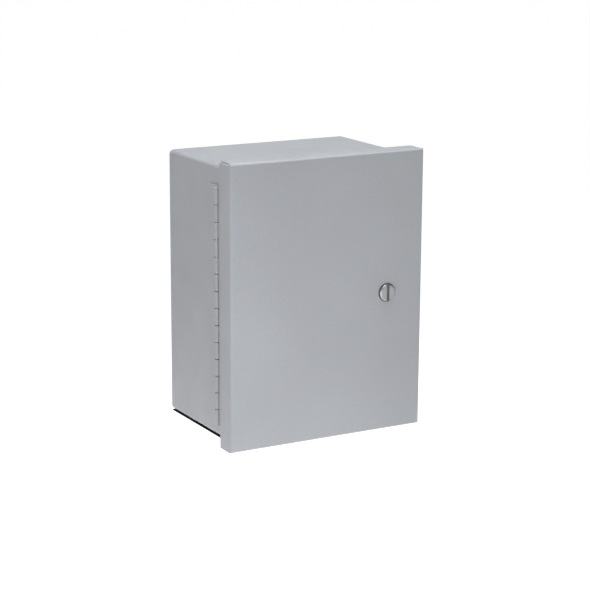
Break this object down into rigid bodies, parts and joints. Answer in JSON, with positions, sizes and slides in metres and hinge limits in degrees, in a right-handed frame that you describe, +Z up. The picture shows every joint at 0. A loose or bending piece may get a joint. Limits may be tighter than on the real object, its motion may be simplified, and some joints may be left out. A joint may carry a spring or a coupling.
{
  "type": "fire alarm control panel",
  "caption": "Wall cabinet fire alarm control panel with a flanged door on a continuous hinge, a slotted quarter-turn latch, and a transformer, boards, controls and batteries inside.",
  "frame": {"origin": "centre of the back face, which is also the centre of the four wall holes", "axes": "-Y is the front, +X is the right side seen from the front, +Z is up"},
  "size_m": [0.2455, 0.1666, 0.3192],
  "materials": {
    "cabinet_paint": "satin light grey enamel with a fine even texture",
    "zinc_plate": "zinc plated, satin",
    "dark_zinc": "darkened zinc plated",
    "bright_fastener": "bright zinc plated",
    "latch_plate": "satin nickel plated",
    "lamination_steel": "varnished dark stacked laminations",
    "winding_tape": "yellow polyester winding tape",
    "black_plastic": "black moulded plastic",
    "component_black": "black moulded epoxy",
    "board_green": "green solder mask over glass epoxy",
    "terminal_green": "green moulded plastic",
    "relay_blue": "blue moulded plastic",
    "capacitor_sleeve": "dark blue heat-shrunk sleeve",
    "black_aluminium": "black anodised",
    "face_paint": "charcoal powder coat",
    "lcd_film": "yellow-green liquid crystal cell under clear film",
    "led_red": "diffused red lens",
    "led_amber": "diffused amber lens",
    "led_green": "diffused green lens",
    "button_grey": "light grey moulded cap",
    "button_amber": "amber moulded cap",
    "button_red": "red moulded cap",
    "battery_case": "dark grey ABS case",
    "tinned_brass": "tinned brass",
    "fuse_glass": "clear glass tube with metal end caps",
    "ribbon_grey": "grey flat cable insulation",
    "wire_red": "red PVC insulation",
    "wire_black": "black PVC insulation",
    "wire_blue": "blue PVC insulation",
    "wire_green": "green PVC insulation",
    "wire_yellow": "yellow PVC insulation"
  },
  "bodies": {
    "cabinet": {"cabinet_wrapper": "cabinet_paint", "cabinet_back": "cabinet_paint", "knockout_discs": "cabinet_paint", "cable_bushing": "black_plastic", "weld_studs": "zinc_plate", "ground_nuts": "bright_fastener", "sub_panel": "zinc_plate", "panel_nuts": "bright_fastener", "hinge_body_leaf": "cabinet_paint", "hinge_pin": "bright_fastener", "transformer_core": "lamination_steel", "transformer_coil": "winding_tape", "transformer_frame": "zinc_plate", "transformer_screws": "bright_fastener", "mains_terminal": "black_plastic", "terminal_screws": "bright_fastener", "fuse_holder": "black_plastic", "fuse_clips": "tinned_brass", "fuse": "fuse_glass", "main_board": "board_green", "hex_standoffs": "zinc_plate", "board_screws": "bright_fastener", "field_terminals": "terminal_green", "relays": "relay_blue", "chips": "component_black", "capacitors": "capacitor_sleeve", "heat_sink": "black_aluminium", "regulator": "component_black", "buzzer": "black_plastic", "face_plate": "face_paint", "face_screws": "bright_fastener", "display_board": "board_green", "lcd_module": "black_plastic", "lcd_glass": "lcd_film", "alarm_leds": "led_red", "trouble_leds": "led_amber", "power_led": "led_green", "tact_switches": "black_plastic", "ribbon_cable": "ribbon_grey", "battery_left": "battery_case", "battery_right": "battery_case", "battery_terminals": "tinned_brass", "battery_bracket": "zinc_plate", "bracket_screws": "bright_fastener", "lead_red": "wire_red", "lead_black": "wire_black", "lead_jumper": "wire_blue", "mains_wires": "wire_black", "ground_wire": "wire_green", "secondary_wires": "wire_yellow"},
    "door": {"door_pan": "cabinet_paint", "hinge_door_leaf": "cabinet_paint", "latch_housing": "dark_zinc", "latch_nut": "zinc_plate"},
    "latch": {"latch_head": "latch_plate", "latch_cam": "zinc_plate", "latch_screw": "bright_fastener"},
    "ack_button": {"button_ack": "button_grey"},
    "silence_button": {"button_silence": "button_amber"},
    "reset_button": {"button_reset": "button_red"}
  },
  "joints": [
    {"name": "door_hinge", "type": "hinge", "parent": "cabinet", "child": "door", "pos_m": [-0.121, -0.1306, -0.0027], "axis": [0, 0, -1], "range_deg": [0, 170]},
    {"name": "latch_turn", "type": "hinge", "parent": "door", "child": "latch", "pos_m": [0.0752, -0.1635, 0], "axis": [0, -1, 0], "range_deg": [0, 90]},
    {"name": "ack_press", "type": "slide", "parent": "cabinet", "child": "ack_button", "axis": [0, 1, 0], "range_m": [0, 0.0016], "stiffness_N_per_m": 400, "springref_m": -0.0008},
    {"name": "silence_press", "type": "slide", "parent": "cabinet", "child": "silence_button", "axis": [0, 1, 0], "range_m": [0, 0.0016], "stiffness_N_per_m": 400, "springref_m": -0.0008},
    {"name": "reset_press", "type": "slide", "parent": "cabinet", "child": "reset_button", "axis": [0, 1, 0], "range_m": [0, 0.0016], "stiffness_N_per_m": 400, "springref_m": -0.0008}
  ]
}
